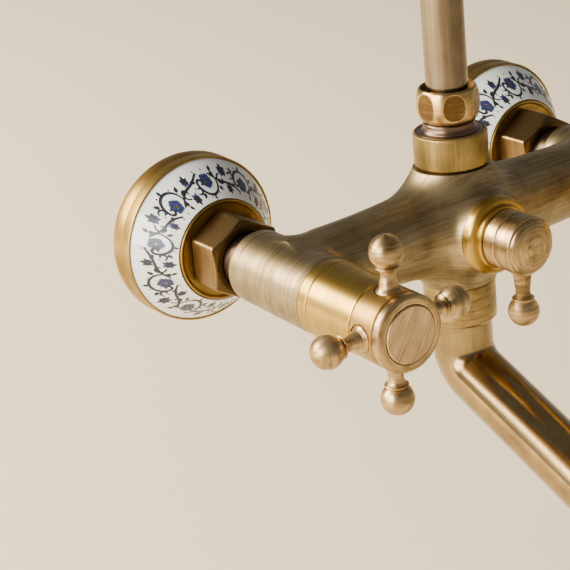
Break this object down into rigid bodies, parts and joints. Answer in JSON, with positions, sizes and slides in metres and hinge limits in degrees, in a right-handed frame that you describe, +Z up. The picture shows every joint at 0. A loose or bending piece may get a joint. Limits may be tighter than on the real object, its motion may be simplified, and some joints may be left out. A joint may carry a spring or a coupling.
{
  "type": "rainfall shower column",
  "caption": "Wall-mounted bath and shower column: bridge mixer with cross handles and swivel spout, riser, gooseneck arm and tilting rain head.",
  "frame": {"origin": "on the wall plane, midway between the two water inlets", "axes": "+X to the right-hand inlet seen from the front, -Y out of the wall towards the user, +Z up along the riser"},
  "size_m": [0.2144, 0.4873, 1.0805],
  "materials": {
    "antique_brass": "brushed antique brass, satin",
    "gold_brass": "brushed antique brass, lighter and more golden",
    "rose_brass": "brushed antique brass, champagne tone",
    "dark_brass": "antique brass, dark patina",
    "glazed_ceramic": "white glaze with a printed scroll border",
    "black_rubber": "moulded rubber",
    "white_plastic": "moulded acetal",
    "stainless_steel": "stainless screw"
  },
  "bodies": {
    "column": {"wall_flange_left": "antique_brass", "ceramic_rosette_left": "glazed_ceramic", "eccentric_union_left": "dark_brass", "union_washer_left": "black_rubber", "union_nut_left": "dark_brass", "inlet_tail_left": "dark_brass", "cartridge_left": "gold_brass", "bonnet_ring_left": "gold_brass", "bonnet_sleeve_left": "gold_brass", "wall_flange_right": "antique_brass", "ceramic_rosette_right": "glazed_ceramic", "eccentric_union_right": "dark_brass", "union_washer_right": "black_rubber", "union_nut_right": "dark_brass", "inlet_tail_right": "dark_brass", "cartridge_right": "gold_brass", "bonnet_ring_right": "gold_brass", "bonnet_sleeve_right": "gold_brass", "mixer_body": "antique_brass", "top_collar": "gold_brass", "riser_nipple": "dark_brass", "riser_nut": "gold_brass", "riser_pipe": "antique_brass", "arm_nut": "gold_brass", "shower_arm": "antique_brass", "bracket_flange": "antique_brass", "bracket_rosette": "glazed_ceramic", "bracket_stem": "antique_brass", "bracket_clamp": "antique_brass", "head_ball": "antique_brass", "diverter_ring": "antique_brass", "diverter_cartridge": "gold_brass", "spout_collar": "gold_brass"},
    "left_handle": {"spindle_left": "gold_brass", "handle_hub_left": "rose_brass", "handle_cap_left": "rose_brass", "index_disc_left": "rose_brass", "handle_screw_left": "stainless_steel", "handle_arm_1_left": "rose_brass", "handle_arm_2_left": "rose_brass", "handle_arm_3_left": "rose_brass", "handle_arm_4_left": "rose_brass"},
    "right_handle": {"spindle_right": "gold_brass", "handle_hub_right": "rose_brass", "handle_cap_right": "rose_brass", "index_disc_right": "rose_brass", "handle_screw_right": "stainless_steel", "handle_arm_1_right": "rose_brass", "handle_arm_2_right": "rose_brass", "handle_arm_3_right": "rose_brass", "handle_arm_4_right": "rose_brass"},
    "diverter_handle": {"diverter_spindle": "gold_brass", "diverter_knob": "rose_brass"},
    "spout": {"spout": "antique_brass", "aerator": "dark_brass"},
    "head_ball_seat": {"ball_seat": "white_plastic"},
    "rain_head": {"head_nut": "antique_brass", "head_shell": "antique_brass", "head_face": "antique_brass", "nozzle_mat": "black_rubber"}
  },
  "joints": [
    {"name": "left_handle_turn", "type": "hinge", "parent": "column", "child": "left_handle", "pos_m": [-0.075, -0.1293, 0], "axis": [0, -1, 0], "range_deg": [0, 90]},
    {"name": "right_handle_turn", "type": "hinge", "parent": "column", "child": "right_handle", "pos_m": [0.075, -0.1293, 0], "axis": [0, -1, 0], "range_deg": [-90, 0]},
    {"name": "diverter_turn", "type": "hinge", "parent": "column", "child": "diverter_handle", "pos_m": [0, -0.109, 0], "axis": [0, -1, 0], "range_deg": [0, 90]},
    {"name": "spout_swivel", "type": "hinge", "parent": "column", "child": "spout", "pos_m": [0, -0.0733, -0.0391], "axis": [0, 0, 1], "range_deg": [-60, 60]},
    {"name": "head_tilt_back_forward", "type": "hinge", "parent": "column", "child": "head_ball_seat", "pos_m": [0, -0.3733, 0.749], "axis": [1, 0, 0], "range_deg": [-15, 15]},
    {"name": "head_tilt_side", "type": "hinge", "parent": "head_ball_seat", "child": "rain_head", "pos_m": [0, -0.3733, 0.749], "axis": [0, 1, 0], "range_deg": [-15, 15]}
  ]
}
